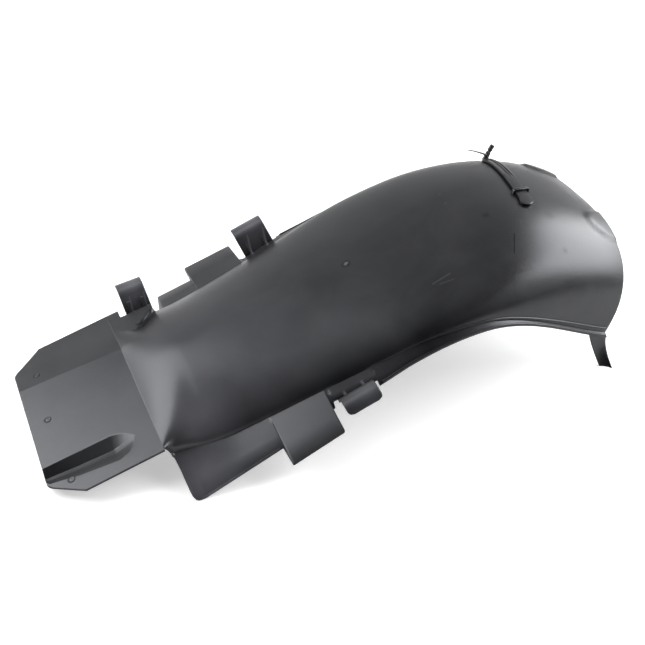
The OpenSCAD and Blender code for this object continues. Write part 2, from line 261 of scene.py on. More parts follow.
class ShellForm:
    """The moulding's surface: every function takes and gives millimetres.

    FLAP_IN is how far the flap's edge lies inside its full width at FLAP_STEPS from its start.
    NEAR_COLS are the plate's columns at its near edge, the channel's lip, floor and rim, and the
    centre line.
    """

    COLS = 12
    FLAP_STEPS = (0, 1.5, 3.4, 4.6, 5.3, 6.3, 8.2, 10.5, 13)
    FLAP_IN = (45, 43, 31, 17, 10, 5, 1.6, 0.3, 0)
    NEAR_COLS, CREASE_COL, FLOOR_SHARE, RIM_ROOM = (0, 4, 7, 8, 12), 5, 0.36, 3

    def __init__(self, sizes: ShellSizes, clips: ClipSizes) -> None:
        """Store the sizes and work out the derived ones."""
        s = self.s = sizes
        self.clips = clips
        ridge = math.radians(s.ridge_deg)
        self.ridge_z0 = self.plate_z(s.plate_len) + s.ridge_step
        self.arch_z = self.ridge_line(s.crest_x) - s.arch_r / math.cos(ridge)
        self.arch_start = s.crest_x - s.arch_r * math.sin(ridge)
        self.tail_x = s.crest_x + s.arch_r * math.sin(math.radians(s.tail_deg))
        self.wall_end_x = self.tail_x - s.tail_lean
        self.brow_x = s.plate_len + s.brow_in
        self.clip_end = clips.x + clips.length
        self.outer_w = s.arch_half_w + s.lip_w
        self.channel_end = s.channel_len + s.channel_ramp
        self.tab_end = s.tab_x + s.tab_len
        self.flap_x = s.plate_len + s.flap_gap
        self.flap_full_x = self.flap_x + self.FLAP_STEPS[-1]
        self.far_start = clips.front_x + clips.front_length + s.far_gap
        self.far_notch = s.plate_len + s.far_notch

    def plate_z(self, x: float) -> float:
        """Return the height of the plate's upper face."""
        return self.s.front_lift + tan(self.s.plate_deg) * x

    def plate_edge(self, x: float, half_w: float) -> float:
        """Return the plate's half width, less its chamfer and its rounded corner."""
        s = self.s
        d = max(0.0, s.plate_corner - x)
        cut = table(x, [0, s.plate_chamfer], [s.plate_cut, 0])
        return half_w - cut - s.plate_corner + math.sqrt(s.plate_corner ** 2 - d * d)

    def channel_rim(self, x: float) -> float:
        """Return the distance of the channel's inner rim from the centre line."""
        s, end = self.s, self.channel_end
        return s.channel_y + table(x, [0, s.channel_len, end - 9, end], [-1, 0, 4, 13])

    def channel_lip(self, x: float) -> float:
        """Return the distance of the channel's outer lip from the centre line."""
        s, end = self.s, self.channel_end
        return s.channel_y + s.channel_w + table(
            x, [0, 13, 31, s.channel_len, end - 9, end - 3, end], [1, 4, 9, 15, 11, 5, -4])

    def channel_fall(self, x: float) -> float:
        """Return the channel's depth at a distance from the front edge."""
        return table(x, [self.s.channel_len, self.channel_end], [self.s.channel_depth, 0])

    def ridge_line(self, x: float) -> float:
        """Return the height of the ridge's straight part."""
        return self.ridge_z0 + tan(self.s.ridge_deg) * (x - self.s.plate_len)

    def ridge_z(self, x: float) -> float:
        """Return the ridge's height."""
        s, d = self.s, x - self.s.crest_x
        if x > self.arch_start:
            return self.arch_z + math.sqrt(max(0.0, s.arch_r ** 2 - d * d))
        near = min(1.0, max(0.0, 1 - (x - s.plate_len) / s.joint_reach))
        brow = 1 - near ** 2 - float(smooth((x - self.brow_x) / s.brow_run))
        return self.ridge_line(x) - s.ridge_step * near ** 2 + s.brow_h * brow

    def lean(self, x: float) -> float:
        """Return how far the ridge overhangs the foot of the wall."""
        along = (x - self.s.lean_x) / (self.wall_end_x - self.s.lean_x)
        return self.s.tail_lean * min(1.0, max(0.0, along)) ** 1.5

    def dome_w(self, x: float) -> float:
        """Return the dome's half width at its foot."""
        s = self.s
        along = (x - s.plate_len) / (s.crest_x - s.plate_len)
        return s.dome_half_w + (s.arch_half_w - s.dome_half_w) * float(smooth(along))

    def edge_z(self, x: float) -> float:
        """Return the height of the flange's outer edge."""
        s, slope = self.s, tan(self.s.side_deg)
        if x < s.side_start:
            return s.wall
        if x < s.side_bend_x:
            return s.wall + slope * (x - s.side_start)
        if x < s.side_top_x:
            bend_z, span = slope * (s.side_bend_x - s.side_start), s.side_top_x - s.side_bend_x
            return s.wall + hermite((x - s.side_bend_x) / span, span, bend_z, slope, s.side_top, 0)
        span = self.wall_end_x - s.side_top_x
        return s.wall + hermite((x - s.side_top_x) / span, span, s.side_top, 0, s.side_end,
                                -tan(s.side_fall_deg))

    def foot_z(self, x: float) -> float:
        """Return the height of the dome's foot, blended from the flap's and the flange's."""
        s = self.s
        along = (x - s.side_bend_x) / (s.crest_x - s.side_bend_x)
        low = s.wall + s.flap_rise
        high = self.edge_z(x) + s.flange_drop * (1 - s.drop_fade * float(smooth(along)))
        return (low + high + math.hypot(low - high, s.foot_blend)) / 2

    def flange_w(self, x: float) -> float:
        """Return the flange's half width without tabs and seats."""
        return table(x, [self.flap_full_x, self.s.side_bend_x], [self.s.flap_half_w, self.outer_w])

    def at_clips(self, x: float) -> bool:
        """Return whether a station lies at the two side clips."""
        return self.clips.x - self.s.clip_room < x < self.clip_end + self.s.clip_room

    def common_w(self, x: float) -> float:
        """Return the half width of both flanges, with the tabs' rounded corners."""
        s = self.s
        if s.tab_x < x < self.tab_end:
            r = s.tab_corner
            d = r - min(x - s.tab_x, self.tab_end - x, r)
            return self.flange_w(x) + s.tab_out - r + math.sqrt(r * r - d * d)
        if self.tab_end < x < self.clips.x - s.clip_room:
            return self.flange_w(x) - s.waist
        seat_w = self.dome_w(x) + self.clips.seat + s.seat_room
        return seat_w if self.at_clips(x) else self.flange_w(x)

    def seat_z(self, x: float) -> float:
        """Return the height of the flange where a side clip sits."""
        return self.foot_z(x) - self.s.flange_drop * self.s.seat_drop

    def common_edge_z(self, x: float) -> float:
        """Return the height of both flanges' edges."""
        return self.seat_z(x) if self.at_clips(x) else self.edge_z(x)

    def near_w(self, x: float) -> float:
        """Return the half width on the near side."""
        s = self.s
        if x <= s.plate_len:
            return self.plate_edge(x, s.plate_near_w)
        if x < self.flap_x:
            return self.dome_w(x) + s.near_out
        if x < self.flap_full_x:
            return s.flap_half_w - table(x - self.flap_x, self.FLAP_STEPS, self.FLAP_IN)
        return self.common_w(x)

    def far_w(self, x: float) -> float:
        """Return the half width on the far side."""
        s, full_x = self.s, self.far_start + self.s.far_turn
        if x <= s.plate_len:
            return self.plate_edge(x, s.plate_far_w)
        if x < self.far_notch:
            return s.plate_far_w
        if x < self.far_start:
            return self.dome_w(x) + s.far_out
        if x < full_x:
            lip_w = self.dome_w(x) + s.far_lip
            return table(x, [self.far_start, full_x], [lip_w, self.flange_w(x)])
        return self.common_w(x)

    def near_edge_z(self, x: float) -> float:
        """Return the height of the near edge."""
        s = self.s
        if x <= s.plate_len:
            return self.plate_z(x)
        if x < self.flap_x:
            foot = np.array(-self.dome_w(x))
            return float(self.height(x, foot) + self.joint_lift(x, foot)) - s.edge_sink
        if x < self.flap_full_x:
            across = (self.near_w(x) - s.dome_half_w) / (s.flap_half_w - s.dome_half_w)
            return self.foot_z(x) + (self.edge_z(x) - self.foot_z(x)) * across
        return self.common_edge_z(x)

    def far_edge_z(self, x: float) -> float:
        """Return the height of the far edge."""
        s = self.s
        if x <= self.far_notch - s.step:
            return self.plate_z(x) - s.strip_drop
        return self.foot_z(x) - s.near_out if x < self.far_start else self.common_edge_z(x)

    def round_n(self, x: float) -> float:
        """Return the section's exponent, larger towards the boxy rear."""
        s = self.s
        along = (x - s.round_x) / (self.wall_end_x - s.round_x)
        return s.round_front + s.round_gain * float(smooth(along))

    def pad_rise(self, top_x: float, y: Grid, h: Grid) -> Grid:
        """Return how far the rear pads stand out of the dome."""
        s = self.s
        dx, dy = (top_x - self.tail_x) / s.pad_b, (np.abs(y) - s.pad_y) / s.pad_a
        return s.pad_h * smooth(s.pad_edge * (1 - dx * dx - dy * dy)) * (h > 0.5)

    def dome(self, x: float, i: Grid, inset: float) -> Grid:
        """Return points of the dome.

        Args:
            x: Station in millimetres from the front edge.
            i: Columns from 0 at the near foot to 24 at the far foot.
            inset: 0 for the upper face and the wall for the lower face.

        Returns:
            Points, one row a column.
        """
        a, n = np.radians(90 * i / self.COLS), self.round_n(x)
        c, h = np.abs(np.cos(a)) ** (2 / n), np.abs(np.sin(a)) ** (2 / n)
        y = -np.sign(np.cos(a)) * (self.dome_w(x) - inset) * c
        lean, foot = self.lean(x), self.foot_z(x)
        z = foot + (self.ridge_z(x + lean) - foot) * h - inset
        return np.stack([x + lean * h, y, z + self.pad_rise(x + lean, y, h)], 1)

    def crease_y(self, x: float) -> float:
        """Return the distance of the tilted strip's crease from the centre line."""
        s = self.s
        return table(x, [0, s.plate_len], [s.strip_y + s.strip_splay, s.strip_y])

    def strip_fall(self, x: float, y: Grid) -> Grid:
        """Return how far the tilted strip lies below the plate's plane."""
        s, crease = self.s, self.crease_y(x)
        return s.strip_drop * np.maximum(0.0, (y - crease) / (s.plate_far_w - crease))

    def plate(self, x: float, i: Grid, inset: float) -> Grid:
        """Return points of the front plate, with the same columns as dome."""
        rim, lip, wide = self.channel_rim(x), self.channel_lip(x), self.near_w(x)
        wide, foot = wide - self.RIM_ROOM, rim + self.FLOOR_SHARE * (lip - rim)
        near = -np.interp(i, self.NEAR_COLS, [wide, min(lip, wide - 1), foot, rim, 0])
        far = np.interp(i - self.COLS, [0, self.CREASE_COL, self.COLS],
                        [0, self.crease_y(x), self.far_w(x) - self.RIM_ROOM])
        y = np.where(i <= self.COLS, near, far)
        drop = self.channel_fall(x) * np.interp(i, [4, 6, 7, 8], [0, 0.85, 1, 0])
        z = self.plate_z(x) - drop - self.strip_fall(x, y) - inset
        return np.stack([np.full_like(y, x), y, z], 1)

    def section(self, x: float, i: Grid, inset: float) -> Grid:
        """Return the row of plate, joint or dome points at a station."""
        s, first = self.s, self.s.plate_len + self.s.joint_turn
        if x <= s.plate_len:
            return self.plate(x, i, inset)
        body = self.dome(x, i, inset)
        if x >= s.plate_len + s.joint_reach + s.joint_past:
            return body
        u = min(1.0, (x - s.plate_len) / s.joint_turn)
        y = (1 - u) * self.plate(s.plate_len, i, 0)[:, 1] + u * self.dome(max(x, first), i, 0)[:, 1]
        z = self.height(x, y) + self.joint_lift(x, y)
        return np.stack([body[:, 0], y * (1 - inset / self.dome_w(x)), z - inset], 1)

    def height(self, x: float, y: Grid) -> Grid:
        """Return the dome's height over a point of the ground, in front of where it leans."""
        s = self.s
        square = s.joint_square * max(0.0, 1 - (x - s.plate_len) / s.square_reach) ** 2
        n = self.round_n(x) + square * np.where(y < 0, 1.0, s.square_far)
        inset = s.shoulder_in * (1 - float(smooth((x - s.shoulder_x) / s.shoulder_run)))
        v = np.clip(np.abs(y) / (self.dome_w(x) - np.where(y < 0, 0.0, inset)), 0, 1)
        return self.foot_z(x) + (self.ridge_z(x) - self.foot_z(x)) * (1 - v ** n) ** (1 / n)

    def joint_lift(self, x: float, y: Grid) -> Grid:
        """Return how far the dome is raised behind the plate, so that it starts on the plate."""
        s, past = self.s, x - self.s.plate_len
        fall = self.strip_fall(s.plate_len, y)
        start = self.plate_z(s.plate_len) - fall - self.height(s.plate_len + 0.01, y)
        v = np.clip(np.abs(y) / s.dome_half_w, 0, 1)
        reach = s.joint_near + (s.joint_fade - s.joint_near) * (1 - v ** 6)
        lift = start * (1 - smooth(past / reach))
        short = self.plate_z(x) - fall - s.strip_tilt * past - self.height(x, y) - lift
        slot = smooth((x - s.slot_x0) / s.slot_in) * (1 - smooth((x - s.slot_x1) / s.slot_out))
        short = short - s.slot_depth * slot * smooth(1.6 - short / 5)
        strip = (short + np.sqrt(short ** 2 + s.strip_soft)) / 2
        strip = strip * (1 - smooth((x - s.strip_end) / s.strip_fade))
        return lift + strip * smooth((y - s.strip_in) / s.strip_rise)

    def over(self, x: float, y: float, lift: float) -> Grid:
        """Return the point above the dome at a foot station and a distance from the centre line."""
        w, n = self.dome_w(x), self.round_n(x)
        v = min(0.999, abs(y) / w)
        h = (1 - v ** n) ** (1 / n)
        lean, foot = self.lean(x), self.foot_z(x)
        rise = self.ridge_z(x + lean) - foot
        ny, nz = math.copysign(v ** (n - 1) / w, y), h ** (n - 1) / rise
        size = math.hypot(ny, nz)
        return np.array([x + lean * h, y + lift * ny / size, foot + rise * h + lift * nz / size])


class MeshParts:
    """Collects closed solids in millimetres and turns them into one Blender object."""

    RIM_STEPS = (45, 0, -45)

    def __init__(self, name: str, shift: float) -> None:
        """Start an empty set of solids; shift is the origin's distance from the front edge."""
        self.name, self.shift, self.bm = name, shift, bmesh.new()

    def solid(self, points: Grid, faces: Faces) -> None:
        """Add one closed solid from points in millimetres and its faces."""
        placed = (np.asarray(points, float) - [self.shift, 0, 0]) * MM
        verts = [self.bm.verts.new(p) for p in placed]
        made = [self.bm.faces.new([verts[k] for k in f]) for f in faces]
        bmesh.ops.recalc_face_normals(self.bm, faces=made)

    def sheet(self, top: Grid, low: Grid, rim: float) -> None:
        """Add a sheet between two grids, with a rounded rim.

        Args:
            top: Upper grid, rows by columns by 3.
            low: Lower grid of the same shape.
            rim: How far the rim's rounding reaches into the sheet.
        """
        rows, cols = top.shape[:2]
        loop = [(0, c) for c in range(cols)] + [(r, cols - 1) for r in range(1, rows)]
        loop += [(rows - 1, c) for c in range(cols - 2, -1, -1)]
        loop += [(r, 0) for r in range(rows - 2, 0, -1)]
        inward = np.zeros((len(loop), 3))
        for k, (r, c) in enumerate(loop):
            for at_edge, other in ((r == 0, (1, c)), (r == rows - 1, (rows - 2, c)),
                                   (c == 0, (r, 1)), (c == cols - 1, (r, cols - 2))):
                if at_edge:
                    d = top[other] - top[r, c]
                    size = max(1e-6, float(np.linalg.norm(d)))
                    inward[k] += d / size * min(1.0, 0.75 * size / rim)
        at = tuple(np.array(loop).T)
        edge_top, edge_low, rings = top[at], low[at], []
        for angle in np.radians(self.RIM_STEPS):
            rings.append((edge_top + edge_low) / 2 + (edge_top - edge_low) / 2 * math.sin(angle)
                         + inward * rim * (1 - math.cos(angle)))
        top, low = top.copy(), low.copy()
        top[at], low[at] = edge_top + inward * rim, edge_low + inward * rim
        base, size, faces = rows * cols, len(loop), []
        for r in range(rows - 1):
            for c in range(cols - 1):
                k = r * cols + c
                q = (k, k + 1, k + cols + 1, k + cols)
                faces += [q, tuple(base + j for j in reversed(q))]
        first = [r * cols + c for r, c in loop]
        chain = [range(a, a + size) for a in range(2 * base, 2 * base + len(rings) * size, size)]
        chain = [first, *chain, [base + k for k in first]]
        for a, b in zip(chain, chain[1:]):
            faces += [(a[k], a[(k + 1) % size], b[(k + 1) % size], b[k]) for k in range(size)]
        self.solid(np.concatenate([top.reshape(-1, 3), low.reshape(-1, 3)] + rings), faces)

    def tube(self, rings: Grid) -> None:
        """Add a closed tube from rings of points, rows by ring by 3."""
        rows, n = rings.shape[:2]
        faces = [tuple(range(n)), tuple((rows - 1) * n + k for k in range(n))]
        for a in range(0, (rows - 1) * n, n):
            faces += [(a + k, a + (k + 1) % n, a + n + (k + 1) % n, a + n + k) for k in range(n)]
        self.solid(rings.reshape(-1, 3), faces)

    def take(self, source: Mesh) -> None:
        """Add a mesh that is already in metres and in the frame."""
        self.bm.from_mesh(source)

    def build(self, material: Material, sharp_deg: float) -> Object:
        """Return the object in the scene, smooth shaded with sharp creases.

        Args:
            material: The finish of every face.
            sharp_deg: Angle from which an edge is shaded sharp.

        Returns:
            The new object, at the origin.
        """
        mesh = bpy.data.meshes.new(self.name)
        self.bm.to_mesh(mesh)
        self.bm.free()
        mesh.materials.clear()
        mesh.materials.append(material)
        mesh.polygons.foreach_set("use_smooth", np.ones(len(mesh.polygons), bool))
        mesh.polygons.foreach_set("material_index", np.zeros(len(mesh.polygons), np.int32))
        mesh.set_sharp_from_angle(angle=math.radians(sharp_deg))
        mesh.update()
        return link_new(self.name, mesh)


def link_new(name: str, data: bpy.types.ID) -> Object:
    """Return a new object that is linked to the scene."""
    obj = bpy.data.objects.new(name, data)
    bpy.context.scene.collection.objects.link(obj)
    return obj


@dataclass(frozen=True)
class ShellSkin:
    """The plate, dome and flanges as one sheet."""

    form: ShellForm
    PITCH = 3.1
    JOINT_PITCH = 1.3
    FLANGE = (0.0, 0.42, 0.6, 0.78, 0.92)
    JOINT_STEPS = (-0.7, 0.0, 0.4, 1.5, 2.6, 3.0, 4.2)
    CHANNEL_STEPS = (0, 4, 11, 14, 17, 20)

    def stations(self) -> list[float]:
        """Return the stations, closer together where an outline steps."""
        f, s = self.form, self.form.s
        marks = [0.0, 0.5, 1.4, 2.7, s.plate_corner, 13, 31, s.plate_chamfer, s.side_start,
                 f.far_start + s.far_turn, f.wall_end_x - 1.9, f.wall_end_x]
        marks += [s.channel_len + d for d in self.CHANNEL_STEPS]
        marks += [s.plate_len + d for d in self.JOINT_STEPS]
        marks += [f.flap_x + d for d in (*f.FLAP_STEPS, 0.7, 2.6)]
        for x in (f.far_notch, f.far_start, s.tab_x, f.tab_end, f.clips.x - s.clip_room,
                  f.clip_end + s.clip_room):
            marks += [x - s.step, x + s.step]
        for d in (0.35, 0.9, 1.6):
            marks += [s.tab_x + d, f.tab_end - d]
        for step, near, places in ((self.PITCH, 1.1, (0, f.wall_end_x)),
                                   (self.JOINT_PITCH, 0.5, (113, 166))):
            marks += [x for x in np.arange(*places, step) if min(abs(x - m) for m in marks) > near]
        return sorted(marks)

    def columns(self) -> Grid:
        """Return the columns, closer together at the channel's edges and at the feet."""
        even = [0.0, 0.06, 0.14, 0.24, 0.36, 0.5] + np.arange(0.75, 12, 0.25).tolist()
        near = even + [12.0, 3.94, 4.06, 6.94, 7.06, 7.94, 8.06]
        far = [24 - i for i in even] + [16.94, 17.06] + np.arange(14.125, 23, 0.25).tolist()
        return np.array(sorted(set(near + far)))

    def row(self, x: float, i: Grid, inset: float) -> Grid:
        """Return one full section: near flange, columns, far flange."""
        f = self.form
        body = f.section(x, i, inset)
        near = np.array([x, -f.near_w(x), f.near_edge_z(x) - inset])
        far = np.array([x, f.far_w(x), f.far_edge_z(x) - inset])
        left = [near + (body[0] - near) * u for u in self.FLANGE]
        right = [far + (body[-1] - far) * u for u in reversed(self.FLANGE)]
        return np.concatenate([left, body, right])

    def add_to(self, parts: MeshParts) -> None:
        """Add the sheet to the moulding."""
        xs, i, s = self.stations(), self.columns(), self.form.s
        top, low = (np.array([self.row(x, i, inset) for x in xs]) for inset in (0.0, s.wall))
        parts.sheet(top, low, s.rim)


@dataclass(frozen=True)
class RailClip:
    """A hook over a frame rail: a leaning wall and an arc, with rounded corners.

    The clip's wall leaves the flange at place, the slope is the rail's in degrees, reach and rise
    set the rail's axis, and below is how far the wall runs into the flange. Its gussets stand at
    RIB_PLACES, have RIB_SHARE of its height, and on a tall clip start at RIB_LIFT of their own.
    """

    z: ClipSizes
    wall: float
    place: Triple
    slope: float
    length: float
    reach: float
    rise: float
    below: float
    side: Side
    RIB_PLACES, RIB_SHARE, RIB_LIFT = (0.23, 0.77), 0.62, 0.35
    ARC_STEPS, WALL_STEPS, LENGTH_STEPS = 19, (0, 0.35, 0.7), 11

    def on_arc(self, radius: float, angle: float) -> Grid:
        """Return the point of a radius about the rail, as distance out and height."""
        arm = np.array([math.sin(angle), math.cos(angle)])
        return np.array([self.reach, self.rise]) + radius * arm

    def foot(self, radius: float) -> float:
        """Return where the wall's side that is tangent to a radius stands on the flange."""
        out, up = self.on_arc(radius, -math.radians(self.z.inner_deg))
        return out - up / tan(self.z.inner_deg)

    def path(self, radius: float) -> Grid:
        """Return the profile of one face, from below the flange to the arc's lip."""
        low = np.array([self.foot(radius), 0.0])
        a0, a1 = math.radians(-self.z.inner_deg), math.radians(self.z.outer_deg)
        wall = [low - [0, self.below]]
        wall += [low + (self.on_arc(radius, a0) - low) * u for u in self.WALL_STEPS]
        arc = [self.on_arc(radius, a) for a in np.linspace(a0, a1, self.ARC_STEPS)]
        return np.array(wall + arc)

    def at(self, along: float, out: float, up: float) -> Grid:
        """Return a point of the clip in the part's frame."""
        c, s = math.cos(math.radians(self.slope)), math.sin(math.radians(self.slope))
        x, y, z = self.place
        x, z = x + along * c - up * s, z + along * s + up * c
        return np.array([x, self.side.value * (y + out), z])

    def add_to(self, parts: MeshParts) -> None:
        """Add the clip to the moulding."""
        faces = [self.path(self.z.radius + self.wall), self.path(self.z.radius)]
        gaps = np.linalg.norm(np.diff(faces[0], axis=0), axis=1)
        to_lip = np.append(np.cumsum(gaps[::-1])[::-1], 0.0)
        r, grids = self.z.corner, []
        even = np.linspace(0, 1, self.LENGTH_STEPS)
        alongs = np.interp(even, [0, 0.1, 0.9, 1], [0, 0.05, 0.95, 1])
        for path in faces:
            rows = []
            for p, left in zip(path, to_lip):
                d = r - min(left, r)
                pull = r - math.sqrt(max(0.0, r * r - d * d))
                rows.append([self.at(pull + a * (self.length - 2 * pull), *p) for a in alongs])
            grids.append(np.array(rows))
        parts.sheet(*grids, self.z.rim)

    def ribs(self) -> list[tuple[Grid, Triple, Triple]]:
        """Return each gusset's place, turn and size."""
        radius, inner = self.z.radius + self.wall, self.z.inner_deg
        top = self.RIB_SHARE * (self.rise + radius * math.cos(math.radians(inner)))
        lift = self.RIB_LIFT * top if self.rise > self.z.rise else 0.0
        out = self.foot(radius) + lift / tan(inner)
        turn, size = (0, -math.radians(self.slope), 0), (1, self.side.value, top / 10)
        return [(self.at(self.length * u, out, lift), turn, size) for u in self.RIB_PLACES]


@dataclass(frozen=True)
class RearFoot:
    """A tongue at a rear corner that curves outwards to the ground."""

    form: ShellForm
    side: Side
    LENGTH, TAPER, FLARE, CORNER_FLARE, HOLLOW, RIM = 25.0, 14.0, 12.0, 9.0, 1.6, 0.9

    def point(self, q: float, u: float, inset: float) -> Triple:
        """Return a point at q down the foot and u forward from the corner."""
        f = self.form
        start = f.wall_end_x - self.LENGTH * u
        flare = (self.FLARE + self.CORNER_FLARE * (1 - u)) * q * q
        y = f.outer_w - 1 - inset + flare - self.HOLLOW * math.sin(math.pi * u) * q
        return start + self.TAPER * u * q, self.side.value * y, (f.edge_z(start) - 0.5) * (1 - q)

    def add_to(self, parts: MeshParts) -> None:
        """Add the foot to the moulding."""
        grids = [np.array([[self.point(q, u, inset) for u in np.linspace(0, 1, 9)]
                           for q in np.linspace(0, 1, 15)]) for inset in (0.0, self.form.s.wall)]
        parts.sheet(*grids, self.RIM)


@dataclass(frozen=True)
class StrapForm:
    """The strap's route over the dome."""

    form: ShellForm
    z: StrapSizes

    def x(self, y: float) -> float:
        """Return the station of the strap's middle."""
        return self.z.x0 + self.z.slant * (y - self.z.y0) / (self.z.y1 - self.z.y0)

    def point(self, y: float, off: float, lift: float) -> Grid:
        """Return a point of the strap from its place along, across and above."""
        x = self.x(y)
        stretch = 1 + self.form.lean(x + 1) - self.form.lean(x)
        return self.form.over(x + off / stretch, y, lift)


@dataclass(frozen=True)
class Keeper:
    """The bridge that holds the strap on the crown."""

    strap: StrapForm
    BAR = ((-1, -0.8), (-0.8, -1), (0.8, -1), (1, -0.8), (1, 0.8), (0.8, 1), (-0.8, 1), (-1, 0.8))

    def add_to(self, parts: MeshParts) -> None:
        """Add the two posts and the arched bar to the moulding."""
        z, f = self.strap.z, self.strap.form
        x = self.strap.x(z.keeper_y)
        slope = math.asin((x + f.lean(x) - f.s.crest_x) / f.s.arch_r)
        base = f.over(x, z.keeper_y, 0)
        along = np.array([math.cos(slope), 0, -math.sin(slope)])
        up = np.array([math.sin(slope), 0, math.cos(slope)])
        half = (z.band_w + z.keeper_room + z.keeper_t) / 2
        high = z.gap + z.band_t + 0.5 + z.keeper_t / 2
        route = [(-half, -1.2), (-half, high * 0.7), (-half + 0.5, high - 0.5), (-half + 1.6, high)]
        route += [(0.0, high)] + [(-a, b) for a, b in reversed(route)]
        rings = []
        for k, (a, b) in enumerate(route):
            d = np.subtract(route[min(len(route) - 1, k + 1)], route[max(0, k - 1)])
            d = d / np.linalg.norm(d)
            side = along * -d[1] + up * d[0]
            rings.append([base + along * a + up * b + side * u * z.keeper_t / 2
                          + np.array([0, 1, 0]) * v * z.keeper_w / 2 for u, v in self.BAR])
        parts.tube(np.array(rings))


def circle(sides: int) -> Grid:
    """Return the angles of a ring's points."""
    return np.linspace(0, 2 * math.pi, sides + 1)[:-1]


def turned(about_y: float, about_x: float) -> Matrix:
    """Return a turn of degrees about X and then about Y."""
    about_y, about_x = math.radians(about_y), math.radians(about_x)
    return Matrix.Rotation(about_y, 3, "Y") @ Matrix.Rotation(about_x, 3, "X")


@dataclass(frozen=True)
class CableStrap:
    """The flexible strap: a band with two ridges, a round end, a lobed head and a thin tail.

    PROFILE is the band's section as shares of its half width and thickness. A row of LOBES holds a
    lobe's ends along the head, its share of the band's width, its thickness and its ribs.
    """

    strap: StrapForm
    PROFILE = ((-1.0, 0.15), (-0.97, 0.75), (-0.86, 1.0), (-0.3, 0.97), (-0.12, 0.8), (0.02, 0.76),
               (0.1, 1.0), (0.2, 1.06), (0.3, 0.98), (0.38, 0.7), (0.56, 0.7), (0.64, 0.98),
               (0.76, 1.0), (0.9, 0.9), (0.98, 0.7), (1.0, 0.15), (0.9, 0.0), (-0.9, 0.0))
    LOBES = ((-0.5, 9.9, 0.44, 4.6, 3), (5.7, 13.3, 0.28, 3.2, 0), (11.0, 19.0, 0.4, 4.4, 2))
    TAIL_START, TAIL_R, TAIL_TAPER, TAIL_BOW = (3.0, -1.0, 5.0), 1.2, 0.55, 0.8

    def half_width(self, y: float) -> float:
        """Return the strap's half width, round at the paddle end."""
        z = self.strap.z
        round_sq = (z.paddle_d / 2) ** 2 - (y - z.y0) ** 2
        if y < z.y0:
            return math.sqrt(max(0.6, round_sq))
        taper = 3.2 * float(smooth((y - z.y1 + 12) / 10))
        return max(z.band_w / 2 - taper, math.sqrt(max(0.0, round_sq)))

    def add_band(self, parts: MeshParts) -> None:
        """Add the band, whose ridges fade out before the bridge."""
        z = self.strap.z
        ys = [z.y0 - z.paddle_d / 2 * math.cos(a) for a in np.linspace(0.12, math.pi / 2, 9)]
        rings = []
        for y in ys + np.linspace(z.y0 + 1.5, z.y1 - 3, 70).tolist():
            groove, half, ring = float(smooth((y - 14) / 16)), self.half_width(y), []
            for u, v in self.PROFILE:
                if v > 0.5:
                    flat = 1 - 0.12 * abs(u) ** 3
                    v = flat + (min(v, 1.0) - flat) * groove
                ring.append(self.strap.point(y, u * half, z.gap + z.band_t * v))
            rings.append(ring)
        parts.tube(np.array(rings))

    def add_lobe(self, parts: MeshParts, base: Grid, lobe: tuple[float, ...]) -> None:
        """Add one lobe of the head."""
        low, high, share, thick, ribs = lobe
        turn, rings = turned(36, -10), []
        for q in np.linspace(0, 1, 22):
            swell = 0.84 + 0.16 * math.sin(math.pi * q) ** 0.5
            if ribs:
                swell *= 1 - 0.1 * (0.5 + 0.5 * math.cos(2 * math.pi * ribs * q))
            half = (self.strap.z.band_w * share / 2 * swell, thick / 2 * swell)
            ring = []
            for a in circle(16):
                x, y = (h * math.copysign(abs(t) ** 0.6, t)
                        for h, t in zip(half, (math.cos(a), math.sin(a))))
                ring.append(base + np.array(turn @ Vector((x, y - 1, low + (high - low) * q))))
            rings.append(ring)
        parts.tube(np.array(rings))

    def add_head(self, parts: MeshParts) -> None:
        """Add the ribbed lobes and the tapering tail."""
        z = self.strap.z
        base = self.strap.point(z.y1 - 2, 0, z.gap + z.band_t / 2)
        for lobe in self.LOBES:
            self.add_lobe(parts, base, lobe)
        turn, rings = turned(-66, -6), []
        for q in np.linspace(0, 1, 15):
            radius = (self.TAIL_R - self.TAIL_TAPER * q) * (1 if q < 1 else 0.5)
            bow = self.TAIL_BOW * math.sin(math.pi * q)
            rings.append([base + self.TAIL_START + np.array(turn @ Vector(
                (radius * math.cos(a) + bow, radius * math.sin(a), z.tail_len * q)))
                for a in circle(12)])
        parts.tube(np.array(rings))


